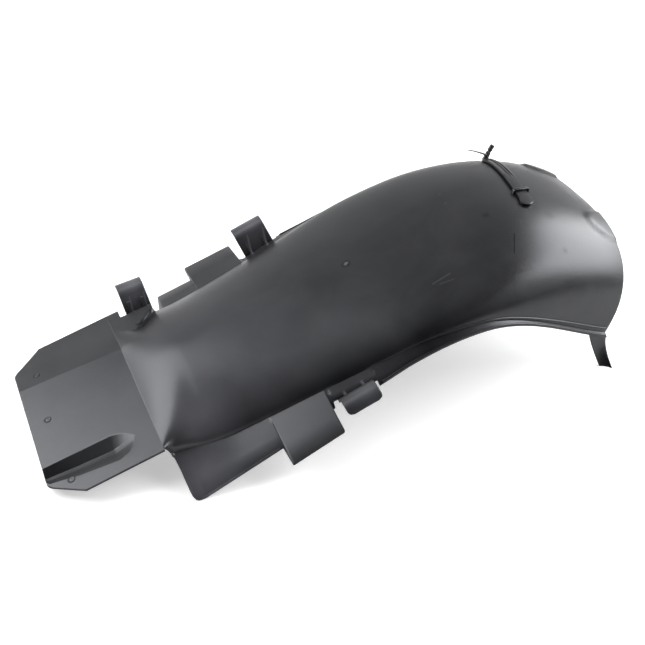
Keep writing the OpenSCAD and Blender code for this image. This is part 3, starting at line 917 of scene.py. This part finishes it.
class NodeSheet:
    """Writes nodes and links into a tree."""

    def __init__(self, tree: bpy.types.NodeTree) -> None:
        """Keep the tree."""
        self.tree = tree

    def node(self, kind: str, props: Optional[dict[str, object]] = None, **values: object) -> Node:
        """Add a node, set its properties and set or link its inputs.

        Args:
            kind: Node type.
            props: Properties of the node.
            **values: Inputs by name with underscores for spaces, or by i and a number.

        Returns:
            The node.
        """
        made = self.tree.nodes.new(kind)
        for key, value in (props or {}).items():
            setattr(made, key, value)
        for key, value in values.items():
            numbered = key[0] == "i" and key[1:].isdigit()
            self.put(made.inputs[int(key[1:]) if numbered else key.replace("_", " ")], value)
        return made

    def put(self, target: Socket, value: object) -> None:
        """Link a socket to an input, or set the input to a value."""
        if isinstance(value, Socket):
            self.tree.links.new(value, target)
        else:
            target.default_value = value

    def math(self, operation: str, a: object, b: object = 0.0, clamp: bool = False) -> Socket:
        """Return the output of a Math node."""
        props = {"operation": operation, "use_clamp": clamp}
        return self.node("ShaderNodeMath", props, i0=a, i1=b).outputs[0]

    def remap(self, value: Socket, low: float, high: float, to_low: float,
              to_high: float) -> Socket:
        """Return a value mapped from one range to another and clamped."""
        return self.node("ShaderNodeMapRange", {"clamp": True}, Value=value, From_Min=low,
                         From_Max=high, To_Min=to_low, To_Max=to_high).outputs[0]

    def noise(self, vector: Socket, scale: object, detail: float, **values: float) -> Socket:
        """Return the value of a noise texture."""
        return self.node("ShaderNodeTexNoise", Vector=vector, Scale=scale, Detail=detail,
                         **values).outputs[0]

    def mix(self, amount: Socket, first: object, second: Triple) -> Socket:
        """Return a mix of two colours, which an amount over 1 takes past the second."""
        props = {"data_type": "RGBA", "clamp_factor": False}
        return self.node("ShaderNodeMix", props, i0=amount, i6=first, i7=(*second, 1)).outputs[2]


class GeometryTree(NodeSheet):
    """A Geometry Nodes tree that is built in this script and baked to a mesh."""

    def __init__(self, name: str, **inputs: str) -> None:
        """Start a tree with its geometry, its material and other inputs by name and type."""
        super().__init__(bpy.data.node_groups.new(name, "GeometryNodeTree"))
        sockets = self.tree.interface
        for way in ("INPUT", "OUTPUT"):
            sockets.new_socket("Geometry", in_out=way, socket_type="NodeSocketGeometry")
        for key, kind in {**inputs, "Material": "NodeSocketMaterial"}.items():
            sockets.new_socket(key, in_out="INPUT", socket_type=kind)
        self.start = self.node("NodeGroupInput").outputs

    def named(self, name: str, kind: str) -> Socket:
        """Return the output of a Named Attribute node."""
        made = self.node("GeometryNodeInputNamedAttribute", {"data_type": kind}, Name=name)
        return made.outputs["Attribute"]

    def close(self, geometry: Socket) -> None:
        """End the tree with Realize Instances and Set Material."""
        real = self.node("GeometryNodeRealizeInstances", Geometry=geometry)
        done = self.node("GeometryNodeSetMaterial", Geometry=real.outputs[0],
                         Material=self.start["Material"])
        self.node("NodeGroupOutput", Geometry=done.outputs[0])

    def bake(self, carrier: Mesh, **values: object) -> Mesh:
        """Run the tree on a mesh and return the result.

        Args:
            carrier: Mesh that the tree works on.
            **values: Inputs by name.

        Returns:
            A new mesh; the carrier object is removed.
        """
        obj = link_new("carrier", carrier)
        mod = obj.modifiers.new("tree", "NODES")
        mod.node_group = self.tree
        for item in self.tree.interface.items_tree:
            if item.in_out == "INPUT" and item.name in values:
                mod[item.identifier] = values[item.name]
        graph = bpy.context.evaluated_depsgraph_get()
        made = bpy.data.meshes.new_from_object(obj.evaluated_get(graph), depsgraph=graph)
        obj.modifiers.remove(mod)
        bpy.data.objects.remove(obj)
        return made


class BeadTree(GeometryTree):
    """Sweeps a round bead along polylines whose points carry a radius."""

    def __init__(self) -> None:
        """Build the tree."""
        super().__init__("flange_beads", Sides="NodeSocketInt")
        curve = self.node("GeometryNodeMeshToCurve", Mesh=self.start["Geometry"])
        ring = self.node("GeometryNodeCurvePrimitiveCircle", Resolution=self.start["Sides"],
                         Radius=1.0)
        swept = self.node("GeometryNodeCurveToMesh", Curve=curve.outputs[0], Fill_Caps=True,
                          Profile_Curve=ring.outputs[0], Scale=self.named("bead_radius", "FLOAT"))
        self.close(swept.outputs[0])


class RepeatTree(GeometryTree):
    """Puts one shape on every point, turned and scaled by the points' attributes."""

    def __init__(self, name: str) -> None:
        """Build the tree under a name."""
        super().__init__(name, Shape="NodeSocketObject")
        points = self.node("GeometryNodeMeshToPoints", Mesh=self.start["Geometry"])
        shape = self.node("GeometryNodeObjectInfo", Object=self.start["Shape"])
        turn = self.node("FunctionNodeEulerToRotation", Euler=self.named("turn", "FLOAT_VECTOR"))
        placed = self.node("GeometryNodeInstanceOnPoints", Points=points.outputs[0],
                           Instance=shape.outputs["Geometry"], Rotation=turn.outputs[0],
                           Scale=self.named("size", "FLOAT_VECTOR"))
        self.close(placed.outputs[0])


def carrier_mesh(points: Grid, edges: list[tuple[int, int]], **attributes: Grid) -> Mesh:
    """Return a mesh of points that carries attributes for a tree.

    Args:
        points: Points in metres in the frame.
        edges: Edges between them.
        **attributes: Values by name; one column makes a float, three a vector.

    Returns:
        The mesh.
    """
    mesh = bpy.data.meshes.new("carrier")
    mesh.from_pydata([tuple(p) for p in points], edges, [])
    for name, values in attributes.items():
        kind, field = ("FLOAT_VECTOR", "vector") if values.ndim == 2 else ("FLOAT", "value")
        mesh.attributes.new(name, kind, "POINT").data.foreach_set(field, values.reshape(-1))
    return mesh


@dataclass(frozen=True)
class Details:
    """What repeats on the moulding: flange beads, gusset ribs, ejector rings and mould marks.

    The rings' and the nub's profiles are radius and height pairs, the rings' radii off the mark's.
    """

    form: ShellForm
    material: Material
    EJECTORS = ((22.0, 73.0), (19.0, 1.0), (23.0, -89.0))
    GATE = (352.0, -1.0)
    RING = ((0.5, -0.5), (0.5, 0.1), (0.1, 0.32), (-0.5, 0.3), (-1.0, 0.06), (-1.5, 0.04),
            (-2.0, 0.16), (-3.2, 0.2))
    NUB = ((2.6, -0.4), (2.5, 0.2), (1.9, 0.35), (1.6, 0.1), (1.2, 0.2), (1.0, 0.9), (0.3, 1.1))
    BEAD_R, FLAP_BEAD_R, BEAD_PITCH, BEAD_SIDES, SHARP = 1.45, 0.9, 4.0, 12, 35
    GROW_X, GROW_RUN, FOOT_COL, AFTER_CLIP, BEAD_LIFT = 352, 60, 0.16, 8, 0.2

    def to_frame(self, points: list[Grid]) -> Grid:
        """Return points in metres in the frame from millimetres behind the front edge."""
        return (np.array(points, float) - [self.form.tail_x / 2, 0, 0]) * MM

    def bead_lines(self) -> list[list[tuple[Grid, float]]]:
        """Return the beads' routes as points with radii, for both flanges."""
        f, lines = self.form, []
        for side in Side:
            foot, edge = [], []
            near = side is Side.NEAR
            for x in np.arange(f.clip_end + self.AFTER_CLIP, f.wall_end_x, self.BEAD_PITCH):
                i = self.FOOT_COL if near else 2 * f.COLS - self.FOOT_COL
                p = f.dome(x, np.array([i]), 0)[0]
                p[2] = max(p[2], f.foot_z(x) + 1.0)
                grow = float(smooth((x - self.GROW_X) / self.GROW_RUN))
                foot.append((p, 0.05 + self.BEAD_R * grow))
                y = side.value * ((f.near_w(x) if near else f.far_w(x)) - self.BEAD_R)
                edge.append((np.array([x, y, f.edge_z(x) + self.BEAD_LIFT]), self.BEAD_R))
            lines += [foot, edge]
        flap = np.arange(f.flap_full_x + 1, f.s.tab_x - 1, self.BEAD_PITCH)
        r, lift = self.FLAP_BEAD_R, self.BEAD_LIFT
        lines.append([(np.array([x, r - f.near_w(x), f.edge_z(x) - lift]), r) for x in flap])
        return lines

    def beads(self) -> Mesh:
        """Return the swept beads."""
        points, edges, radii = [], [], []
        for line in self.bead_lines():
            edges += [(k, k + 1) for k in range(len(points), len(points) + len(line) - 1)]
            points += [p for p, _ in line]
            radii += [r * MM for _, r in line]
        mesh = carrier_mesh(self.to_frame(points), edges, bead_radius=np.array(radii))
        return BeadTree().bake(mesh, Sides=self.BEAD_SIDES, Material=self.material)

    def repeat(self, name: str, rings: Grid, rows: list[tuple[Grid, Triple, Triple]]) -> Mesh:
        """Return one tube shape put at several places.

        Args:
            name: Name of the tree.
            rings: The shape's rings of points in millimetres.
            rows: Place, turn and size of each.

        Returns:
            A mesh of all of them; the shape's own object is removed.
        """
        parts = MeshParts(name, 0.0)
        parts.tube(rings)
        shape = parts.build(self.material, self.SHARP)
        points, turns, sizes = (np.array(column, float) for column in zip(*rows))
        mesh = carrier_mesh(self.to_frame(points), [], turn=turns, size=sizes)
        made = RepeatTree(name).bake(mesh, Shape=shape, Material=self.material)
        bpy.data.objects.remove(shape)
        return made

    def ribs(self, clips: list[RailClip]) -> Mesh:
        """Return the clips' gusset ribs."""
        z, high = clips[0].z, 10.0
        top = high / tan(z.inner_deg)
        outline = [(-z.gusset_w, -1.14), (1, -1.9), (2.5, 0), (top + 1, high), (top - 0.4, high)]
        rings = [[(x, a, b) for a, b in outline] for x in (-z.gusset_t / 2, z.gusset_t / 2)]
        rows = [rib for clip in clips for rib in clip.ribs()]
        return self.repeat("gusset_ribs", np.array(rings), rows)

    def lathe(self, profile: list[tuple[float, float]]) -> Grid:
        """Return a turned shape's rings from radius and height pairs."""
        return np.array([[(r * math.cos(a), r * math.sin(a), z) for a in circle(28)]
                         for r, z in profile])

    def rings(self) -> Mesh:
        """Return the rims round the three ejector marks."""
        f, s, rows = self.form, self.form.s, []
        for x, y in self.EJECTORS:
            crease = f.crease_y(x)
            roll = -math.atan(s.strip_drop / (s.plate_far_w - crease)) if y > crease else 0.0
            z = f.plate_z(x) - float(f.strip_fall(x, y))
            rows.append(((x, y, z), (roll, -math.radians(s.plate_deg), 0), (1, 1, 1)))
        shape = self.lathe([(s.mark_d / 2 + r, z) for r, z in self.RING])
        return self.repeat("ejector_rings", shape, rows)

    def nub(self) -> Mesh:
        """Return the gate's nub on the crown."""
        turn = (0, -math.radians(self.form.s.ridge_deg), 0)
        row = (self.form.over(*self.GATE, 0), turn, (1, 1, 1))
        return self.repeat("gate_nub", self.lathe(self.NUB), [row])


@dataclass(frozen=True)
class PlasticFinish:
    """Look of a moulded black plastic or rubber."""

    colour: Triple
    # The second colour is the tone of dust and wear, and also of the painted light marks.
    dust_and_sheen: Triple
    rough_low: float
    rough_high: float
    grain: float
    grain_scale: float
    scratches: float = 0.0


@dataclass(frozen=True)
class Mark:
    """One mark on a face, in millimetres from the front edge and from the centre line.

    A positive strength darkens, for real marks and for painted shade, and a negative one lightens,
    for dust and for painted light. A mark with a turn is a stroke along that angle with size as its
    half length; another is a ring, or a dot when its size is nil.
    """

    x: float
    y: float
    size: float
    width: float
    strength: float
    turn: Optional[float] = None


def effect_group(name: str, inputs: dict[str, float], output: str,
                 fill: Callable[[NodeSheet, Sockets], Socket]) -> bpy.types.NodeTree:
    """Return a shader node group that puts out one mask or value.

    Args:
        name: Name of the group.
        inputs: Float inputs with their defaults; a Vector input is always added.
        output: Name of the output.
        fill: Writes the nodes from the group's inputs and returns the socket to put out.

    Returns:
        The group.
    """
    tree = bpy.data.node_groups.new(name, "ShaderNodeTree")
    sockets = tree.interface
    sockets.new_socket("Vector", in_out="INPUT", socket_type="NodeSocketVector")
    for key, value in inputs.items():
        made = sockets.new_socket(key, in_out="INPUT", socket_type="NodeSocketFloat")
        made.default_value = value
    sockets.new_socket(output, in_out="OUTPUT", socket_type="NodeSocketFloat")
    sheet = NodeSheet(tree)
    sheet.node("NodeGroupOutput", i0=fill(sheet, sheet.node("NodeGroupInput").outputs))
    return tree


class Effects:
    """Node groups that the finishes use."""

    def __init__(self) -> None:
        """Build the groups."""
        place = {"X": 0.0, "Y": 0.0, "Width": 0.001}
        line = {**place, "Along": 1.0, "Across": 0.0, "Half": 0.01}
        self.grain = effect_group("grain", {"Scale": 900.0}, "Height", self.fill_grain)
        self.wear = effect_group("wear", {"Scale": 14.0}, "Mask", self.fill_wear)
        self.scratch = effect_group("scratch", {"Scale": 30.0, "Cut": 0.72}, "Mask",
                                    self.fill_scratch)
        self.spot = effect_group("spot", {**place, "Radius": 0.003}, "Mask", self.fill_spot)
        self.stroke = effect_group("stroke", line, "Mask", self.fill_stroke)

    @staticmethod
    def fill_grain(sheet: NodeSheet, start: Sockets) -> Socket:
        """Write fine moulding grain over a soft ripple."""
        soft = sheet.math("MULTIPLY", sheet.noise(start["Vector"], 16.0, 1.0), 1.6)
        return sheet.math("ADD", sheet.noise(start["Vector"], start["Scale"], 2.0), soft)

    @staticmethod
    def fill_wear(sheet: NodeSheet, start: Sockets) -> Socket:
        """Write cloudy handling marks."""
        cloud = sheet.noise(start["Vector"], start["Scale"], 5.0, Roughness=0.6, Distortion=0.4)
        return sheet.remap(cloud, 0.38, 0.68, 0.0, 1.0)

    @staticmethod
    def fill_scratch(sheet: NodeSheet, start: Sockets) -> Socket:
        """Write thin scratches from stretched noise."""
        drawn = sheet.node("ShaderNodeMapping", Vector=start["Vector"], Rotation=(0.2, 0.1, 0.7),
                           Scale=(1.0, 22.0, 4.0)).outputs[0]
        above = sheet.math("SUBTRACT", sheet.noise(drawn, start["Scale"], 3.0), start["Cut"])
        return sheet.math("MULTIPLY", above, 30.0, clamp=True)

    @staticmethod
    def offset(sheet: NodeSheet, start: Sockets) -> list[Socket]:
        """Return how far a point lies from the group's place, along X and along Y."""
        parts = sheet.node("ShaderNodeSeparateXYZ", Vector=start["Vector"]).outputs
        return [sheet.math("SUBTRACT", parts[axis], start[axis]) for axis in "XY"]

    @staticmethod
    def fill_spot(sheet: NodeSheet, start: Sockets) -> Socket:
        """Write a soft ring, or a dot when the radius is nil."""
        squares = [sheet.math("MULTIPLY", part, part) for part in Effects.offset(sheet, start)]
        far = sheet.math("SQRT", sheet.math("ADD", *squares))
        off = sheet.math("ABSOLUTE", sheet.math("SUBTRACT", far, start["Radius"]))
        return sheet.math("SUBTRACT", 1.0, sheet.math("DIVIDE", off, start["Width"]), clamp=True)

    @staticmethod
    def fill_stroke(sheet: NodeSheet, start: Sockets) -> Socket:
        """Write a soft line about a place and along a direction."""
        x, y = Effects.offset(sheet, start)
        dx, dy = start["Along"], start["Across"]
        along = sheet.math("ADD", sheet.math("MULTIPLY", x, dx), sheet.math("MULTIPLY", y, dy))
        over, back = sheet.math("MULTIPLY", y, dx), sheet.math("MULTIPLY", x, dy)
        across = sheet.math("SUBTRACT", over, back)
        thin = sheet.math("DIVIDE", sheet.math("ABSOLUTE", across), start["Width"])
        ends = sheet.math("SUBTRACT", start["Half"], sheet.math("ABSOLUTE", along))
        short = sheet.math("DIVIDE", ends, start["Width"], clamp=True)
        return sheet.math("MULTIPLY", sheet.math("SUBTRACT", 1.0, thin, clamp=True), short)


class Finishes:
    """Makes the materials."""

    # DARK is the tone of the dark marks, both real marks and painted shade.
    DARK = (0.002, 0.002, 0.002)
    # TINT is painted light: it makes the reflections bluish, as bluish lamps would.
    TINT = (0.93, 0.95, 1.0, 1)
    # The first of the four numbers below strengthens the light marks, both dust and painted light.
    DUSTY, WORN, BUMP, GLOW = 3.0, 0.5, 0.0004, 0.46

    def __init__(self) -> None:
        """Build the shared effects."""
        self.effects = Effects()

    def group(self, sheet: NodeSheet, tree: bpy.types.NodeTree, vector: Socket,
              **values: float) -> Socket:
        """Return the output of an effect group in a material."""
        made = sheet.node("ShaderNodeGroup", {"node_tree": tree}, Vector=vector, **values)
        return made.outputs[0]

    def mark(self, sheet: NodeSheet, where: Socket, one: Mark, shift: float) -> Socket:
        """Return the mask of one mark, from 0 to the size of its strength."""
        place = {"X": (one.x - shift) * MM, "Y": one.y * MM, "Width": one.width * MM}
        if one.turn is None:
            mask = self.group(sheet, self.effects.spot, where, Radius=one.size * MM, **place)
        else:
            a = math.radians(one.turn)
            mask = self.group(sheet, self.effects.stroke, where, Half=one.size * MM,
                              Along=math.cos(a), Across=math.sin(a), **place)
        return sheet.math("MULTIPLY", mask, abs(one.strength))

    def masks(self, sheet: NodeSheet, where: Socket, marks: list[Mark], shift: float) -> Socket:
        """Return the largest of several marks' masks."""
        total, *others = [self.mark(sheet, where, one, shift) for one in marks]
        for other in others:
            total = sheet.math("MAXIMUM", total, other)
        return total

    def plastic(self, name: str, look: PlasticFinish, marks: tuple[Mark, ...] = (),
                shift: float = 0.0) -> Material:
        """Return a moulded finish with grain, wear, scratches and marks at set places, among them
        painted shade and painted light.

        Args:
            name: Name of the material.
            look: Its colours and amounts.
            marks: Marks at set places: dark ones, both real marks and painted shade, and light
                ones, both dust and painted light.
            shift: How far the frame's origin lies behind the front edge, in millimetres.

        Returns:
            The material.
        """
        made = bpy.data.materials.new(name)
        made.use_nodes = True
        sheet = NodeSheet(made.node_tree)
        where = sheet.node("ShaderNodeTexCoord").outputs["Object"]
        wear = self.group(sheet, self.effects.wear, where, Scale=14.0)
        amount = sheet.math("MULTIPLY", wear, self.WORN)
        if look.scratches:
            lines = self.group(sheet, self.effects.scratch, where, Scale=30.0, Cut=0.72)
            lines = sheet.math("MULTIPLY", lines, look.scratches)
            amount = sheet.math("ADD", amount, lines, clamp=True)
        light, dark = [m for m in marks if m.strength < 0], [m for m in marks if m.strength > 0]
        # Light marks lighten the tone: dust, light scratches and painted light.
        if light:
            dust_and_sheen_mask = sheet.math("MULTIPLY", self.masks(sheet, where, light, shift), self.DUSTY)
            amount = sheet.math("ADD", amount, dust_and_sheen_mask)
        tone = sheet.mix(amount, (*look.colour, 1), look.dust_and_sheen)
        height = self.group(sheet, self.effects.grain, where, Scale=look.grain_scale)
        bump = sheet.node("ShaderNodeBump", Height=height, Strength=look.grain, Distance=self.BUMP)
        values = {"Roughness": sheet.remap(wear, 0.0, 1.0, look.rough_low, look.rough_high),
                  "Normal": bump.outputs[0], "IOR": 1.5, "Specular Tint": self.TINT}
        # Dark marks darken the tone and dim the reflection: real marks and painted shade.
        if dark:
            marks_and_shade = self.masks(sheet, where, dark, shift)
            tone = sheet.mix(marks_and_shade, tone, self.DARK)
            values["Specular IOR Level"] = sheet.remap(marks_and_shade, 0.0, 1.0, 0.5, 0.06)
        shader = made.node_tree.nodes["Principled BSDF"]
        for key, value in {**values, "Base Color": tone}.items():
            sheet.put(shader.inputs[key], value)
        return made

    def floor(self) -> Material:
        """Return the pale floor, which shows white to the camera and keeps the shadow."""
        made = bpy.data.materials.new("studio_floor")
        made.use_nodes = True
        made.node_tree.nodes.clear()
        sheet = NodeSheet(made.node_tree)
        where = sheet.node("ShaderNodeTexCoord").outputs["Object"]
        tone = sheet.remap(sheet.noise(where, 3.0, 1.0), 0.0, 1.0, 0.80, 0.82)
        diffuse = sheet.node("ShaderNodeBsdfDiffuse", Color=tone)
        seen = sheet.node("ShaderNodeLightPath").outputs["Is Camera Ray"]
        glow = sheet.node("ShaderNodeEmission", Color=(1, 1, 1, 1),
                          Strength=sheet.math("MULTIPLY", seen, self.GLOW))
        both = sheet.node("ShaderNodeAddShader", i0=diffuse.outputs[0], i1=glow.outputs[0])
        sheet.node("ShaderNodeOutputMaterial", Surface=both.outputs[0])
        return made


@dataclass(frozen=True)
class SoftBox:
    """An area light in metres and watts that looks at the part."""

    name: str
    place: Triple
    aim: Triple
    width: float
    height: float
    power: float


class Studio:
    """Floor, world, lamps and camera; the camera is the one solved from the photograph."""

    BOXES = (
        SoftBox("left_box", (-0.94, 0.5, 0.8), (-0.25, 0.0, 0.05), 1.0, 1.0, 17.0),
        SoftBox("right_box", (1.27, -0.13, 0.74), (0.25, 0.0, 0.1), 1.3, 1.0, 35.0),
        SoftBox("top_box", (-0.6, 0.42, 1.3), (-0.6, 0.42, 0.0), 0.55, 0.5, 1.9),
        SoftBox("rear_fill", (1.0, -1.0, 0.75), (0.2, -0.1, 0.1), 0.8, 1.1, 3.0),
    )
    FLOOR = 6.0
    SENSOR, FOCAL_PX, PHOTO_PX = 36.0, 1000, 645
    EYE = (-0.336247, -0.769176, 0.747375)
    RIGHT = (0.914796, -0.403917, 0)
    UP = (0.259705, 0.588184, 0.765893)
    BACK = (-0.309357, -0.700636, 0.642968)

    def floor(self, finishes: Finishes) -> Object:
        """Return the floor under the part."""
        mesh = bpy.data.meshes.new("floor")
        half = self.FLOOR
        corners = [(-half, -half, 0), (half, -half, 0), (half, half, 0), (-half, half, 0)]
        mesh.from_pydata(corners, [], [(0, 1, 2, 3)])
        mesh.materials.append(finishes.floor())
        obj = link_new("floor", mesh)
        return obj

    def world(self) -> None:
        """Set a world that is dim towards the front, bright behind, and white to the camera."""
        world = bpy.data.worlds.new("studio")
        bpy.context.scene.world = world
        world.use_nodes = True
        sheet = NodeSheet(world.node_tree)
        where = sheet.node("ShaderNodeTexCoord").outputs["Generated"]
        parts = sheet.node("ShaderNodeSeparateXYZ", Vector=where).outputs
        back = sheet.remap(parts["Y"], -0.38, 0.15, 0.0, 0.85)
        over = sheet.remap(parts["Z"], 0.3, 0.9, 1.0, 0.65)
        seen = sheet.node("ShaderNodeLightPath").outputs["Is Camera Ray"]
        light = sheet.math("MAXIMUM", sheet.math("MULTIPLY", back, over), seen)
        background = world.node_tree.nodes["Background"].inputs
        sheet.put(background["Strength"], light)
        sheet.put(background["Color"], (0.98, 0.99, 1.0, 1))

    def lamps(self) -> None:
        """Add the soft boxes."""
        for box in self.BOXES:
            data = bpy.data.lights.new(box.name, "AREA")
            data.shape = "RECTANGLE"
            data.size, data.size_y, data.energy = box.width, box.height, box.power
            obj = link_new(box.name, data)
            obj.location = box.place
            aim = Vector(box.aim) - Vector(box.place)
            obj.rotation_euler = aim.to_track_quat("-Z", "Y").to_euler()

    def camera(self) -> None:
        """Set the camera."""
        data = bpy.data.cameras.new("photo_camera")
        data.sensor_width, data.lens = self.SENSOR, self.SENSOR * self.FOCAL_PX / self.PHOTO_PX
        data.dof.use_dof = False
        obj = link_new("photo_camera", data)
        turn = Matrix((self.RIGHT, self.UP, self.BACK)).transposed().to_4x4()
        obj.matrix_world = Matrix.Translation(self.EYE) @ turn
        bpy.context.scene.camera = obj


class Mudguard:
    """Builds the moulding and its strap."""

    GUSSET_HIGHLIGHTS = ((142.0, 114.0), (158.5, 114.0), (292.5, 135.0), (311.5, 135.0), (292.5, -135.0),
                 (311.5, -135.0))
    MARKS = (
        # Painted shade on the ejector rings and round the gate's nub, and a light dot on the nub.
        *(Mark(x, y, 3.3, 1.1, 0.9) for x, y in Details.EJECTORS),
        Mark(*Details.GATE, 4.2, 1.2, 0.5),
        Mark(*Details.GATE, 0.0, 3.0, -1.8),
        # Faint round marks.
        Mark(565.0, -54.0, 0.0, 8.0, 0.35),
        Mark(558.0, -98.0, 0.0, 4.0, 0.4),
        Mark(500.0, -32.0, 0.0, 6.0, 0.4),
        # One dark scratch, two light ones and two specks.
        Mark(506.5, -79.0, 13.0, 1.0, 0.75, 59.5),
        Mark(422.0, -80.0, 11.0, 0.8, -0.8, 4.0),
        Mark(425.0, -86.0, 8.0, 0.8, -0.6, -10.0),
        Mark(478.0, 28.0, 0.0, 1.6, -0.7),
        Mark(475.0, 10.0, 0.0, 1.6, -0.7),
        # Painted light: lighter patches on the front slope, the near corner and round the clips.
        Mark(185.0, -40.0, 0.0, 130.0, -0.45),
        Mark(142.0, -132.0, 0.0, 50.0, -1.3),
        Mark(160.0, -88.0, 0.0, 55.0, -1.15),
        Mark(302.0, 160.0, 0.0, 34.0, -1.5),
        Mark(150.0, 134.0, 0.0, 30.0, -1.5),
        Mark(302.0, -160.0, 0.0, 34.0, -1.0),
        # Painted shade in the channel and in the slot beside the strip, and two painted shade lines
        # at the rear edge.
        Mark(52.0, -82.0, 42.0, 14.0, 0.4, -6.0),
        Mark(147.0, 78.0, 13.0, 6.0, 0.7, 45.0),
        Mark(641.0, 33.0, 18.0, 3.0, 0.9, 84.0),
        Mark(631.5, -15.0, 13.0, 2.4, 0.8, 88.0),
        # Painted highlights on the gussets at the clips' feet.
        *(Mark(x, y, 10.0, 2.0, -1.6, 90.0) for x, y in GUSSET_HIGHLIGHTS),
    )
    SHELL_SHARP, STRAP_SHARP = 32, 40
    SHELL = PlasticFinish(colour=(0.0070, 0.0070, 0.0080), dust_and_sheen=(0.024, 0.024, 0.027),
                          rough_low=0.29, rough_high=0.34, grain=0.25, grain_scale=1100.0)
    STRAP = PlasticFinish(colour=(0.004, 0.004, 0.005), dust_and_sheen=(0.010, 0.010, 0.011), rough_low=0.29,
                          rough_high=0.34, grain=0.2, grain_scale=1500.0, scratches=0.1)

    def __init__(self, finishes: Finishes) -> None:
        """Set the sizes and finishes."""
        self.clips = ClipSizes()
        self.form = ShellForm(ShellSizes(), self.clips)
        self.strap = StrapForm(self.form, StrapSizes())
        self.shift = self.form.tail_x / 2
        self.shell_finish = finishes.plastic("black_moulding", self.SHELL, self.MARKS, self.shift)
        self.strap_finish = finishes.plastic("black_rubber", self.STRAP)

    def rail_clips(self) -> list[RailClip]:
        """Return the three clips, set out on the flanges."""
        c, f, wall = self.clips, self.form, self.form.s.wall
        place = (c.x, f.dome_w(c.x + c.length / 2) + c.seat, f.seat_z(c.x))
        made = [RailClip(c, wall, place, f.s.side_deg, c.length, c.reach, c.rise, wall, side)
                for side in Side]
        y = f.dome_w(c.front_x + c.front_length / 2) + 1
        below = wall + c.front_length * math.sin(math.radians(c.front_deg))
        made.append(RailClip(c, wall, (c.front_x, y, f.foot_z(c.front_x) - 1), c.front_deg,
                             c.front_length, c.front_reach, c.front_rise, below, Side.FAR))
        return made

    def shell(self) -> Object:
        """Return the one-piece moulding."""
        parts = MeshParts("mudguard_moulding", self.shift)
        clips = self.rail_clips()
        feet = [RearFoot(self.form, side) for side in Side]
        for piece in (ShellSkin(self.form), *clips, *feet, Keeper(self.strap)):
            piece.add_to(parts)
        details = Details(self.form, self.shell_finish)
        for mesh in (details.beads(), details.ribs(clips), details.rings(), details.nub()):
            parts.take(mesh)
        obj = parts.build(self.shell_finish, self.SHELL_SHARP)
        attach(obj, "root")
        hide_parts("mudguard_shell")
        return obj

    def band(self) -> Object:
        """Return the strap."""
        parts = MeshParts("strap_band", self.shift)
        strap = CableStrap(self.strap)
        strap.add_band(parts)
        strap.add_head(parts)
        obj = parts.build(self.strap_finish, self.STRAP_SHARP)
        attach(obj, "root")
        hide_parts("cable_strap")
        return obj


def report(obj: Object) -> None:
    """Log a piece's triangles and box."""
    obj.data.calc_loop_triangles()
    corners = np.array([v.co for v in obj.data.vertices])
    LOG.info("%s: %d triangles, from %s to %s", obj.name, len(obj.data.loop_triangles),
             corners.min(0).round(4).tolist(), corners.max(0).round(4).tolist())


def main() -> None:
    """Build the pieces, the studio and the camera."""
    logging.basicConfig(level=logging.INFO, format="%(message)s", stream=sys.stdout)
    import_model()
    bpy.context.scene.view_settings.view_transform = "Standard"
    finishes = Finishes()
    guard = Mudguard(finishes)
    report(guard.shell())
    report(guard.band())
    studio = Studio()
    studio.floor(finishes)
    studio.world()
    studio.lamps()
    studio.camera()


if __name__ == "__main__":
    main()
